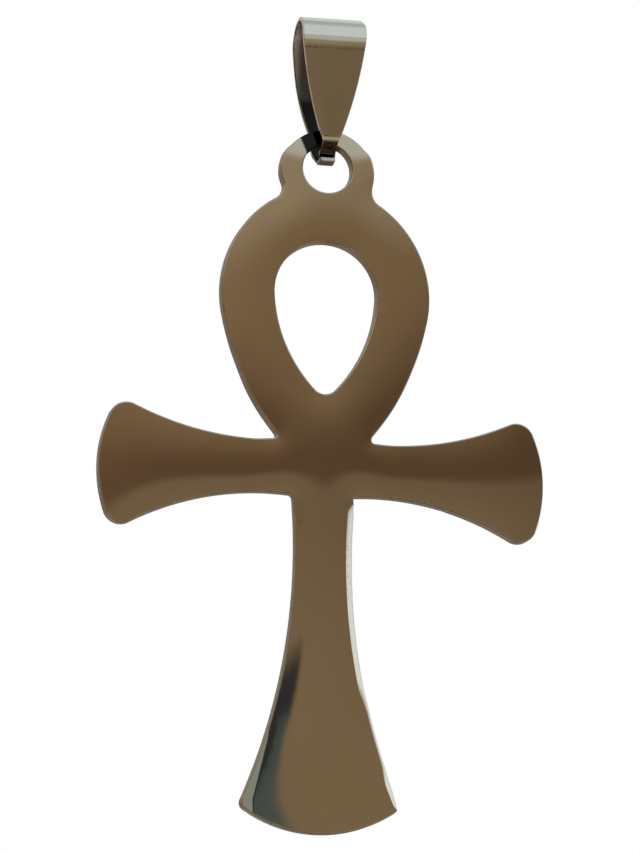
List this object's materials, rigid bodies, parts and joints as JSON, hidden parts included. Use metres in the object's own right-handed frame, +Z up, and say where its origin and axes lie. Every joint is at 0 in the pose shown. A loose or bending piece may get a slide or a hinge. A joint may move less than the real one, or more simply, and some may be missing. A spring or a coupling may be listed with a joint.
{
  "type": "ankh pendant",
  "caption": "Flat polished metal ankh with a teardrop opening and flared arms and foot, hanging by its ear from a folded tapered bail that takes a chain.",
  "frame": {"origin": "inner apex of the bail's roof, where the chain bears", "axes": "+Z up as it hangs, front faces -Y, +X to the right seen from the front; the chain runs along X"},
  "size_m": [0.0284, 0.0032, 0.0522],
  "materials": {
    "plate": "mirror-polished steel with a warm brown cast, fine hairlines and blanked edges",
    "bail": "polished steel strip with a warm brown cast and slightly brighter cut edges"
  },
  "bodies": {
    "bail": {"bail": "bail"},
    "ankh": {"ankh": "plate"}
  },
  "joints": [
    {"name": "swing", "type": "hinge", "parent": "bail", "child": "ankh", "pos_m": [0, 0, -0.00749], "axis": [1, 0, 0], "range_deg": [-90, 90]}
  ]
}
